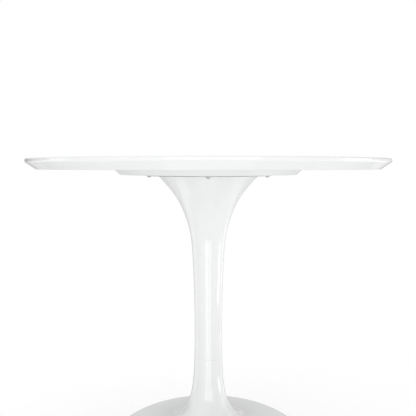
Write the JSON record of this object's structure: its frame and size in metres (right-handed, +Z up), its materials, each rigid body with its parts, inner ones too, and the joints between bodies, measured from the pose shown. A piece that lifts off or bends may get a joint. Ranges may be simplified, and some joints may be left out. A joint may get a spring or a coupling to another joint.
{
  "type": "round pedestal table",
  "caption": "Round dining table with an undercut white top on a trumpet-shaped column and a wide flared foot.",
  "frame": {"origin": "on the floor, under the centre of the table top", "axes": "+Z up along the column; the table is round, so +X and +Y only fix the bolts: the plate's bolts lie on X and Y"},
  "size_m": [0.8999, 0.9, 0.74],
  "materials": {
    "white_lacquer": "gloss",
    "white_lacquer_underside": "satin",
    "white_enamel": "gloss",
    "white_enamel_foot": "gloss",
    "plate_steel": "satin",
    "zinc_steel": "satin",
    "bare_steel": "satin",
    "brass_insert": "satin",
    "ballast_iron": "matte",
    "pad_rubber": "matte"
  },
  "bodies": {
    "root": {"table_top": "white_lacquer", "sub_top": "white_lacquer_underside", "sub_top_screws": "zinc_steel", "threaded_inserts": "brass_insert", "mounting_plate": "plate_steel", "plate_washers": "zinc_steel", "plate_bolts": "zinc_steel", "plate_pins": "bare_steel", "column": "white_enamel", "joint_pin": "bare_steel", "foot": "white_enamel_foot", "foot_pads": "pad_rubber", "ballast_ring": "ballast_iron", "ballast_washers": "zinc_steel", "ballast_bolts": "zinc_steel", "tie_rod": "bare_steel", "upper_rod_washer": "zinc_steel", "upper_rod_nut": "zinc_steel", "lower_rod_washer": "zinc_steel", "lower_rod_nut": "zinc_steel"}
  },
  "joints": []
}
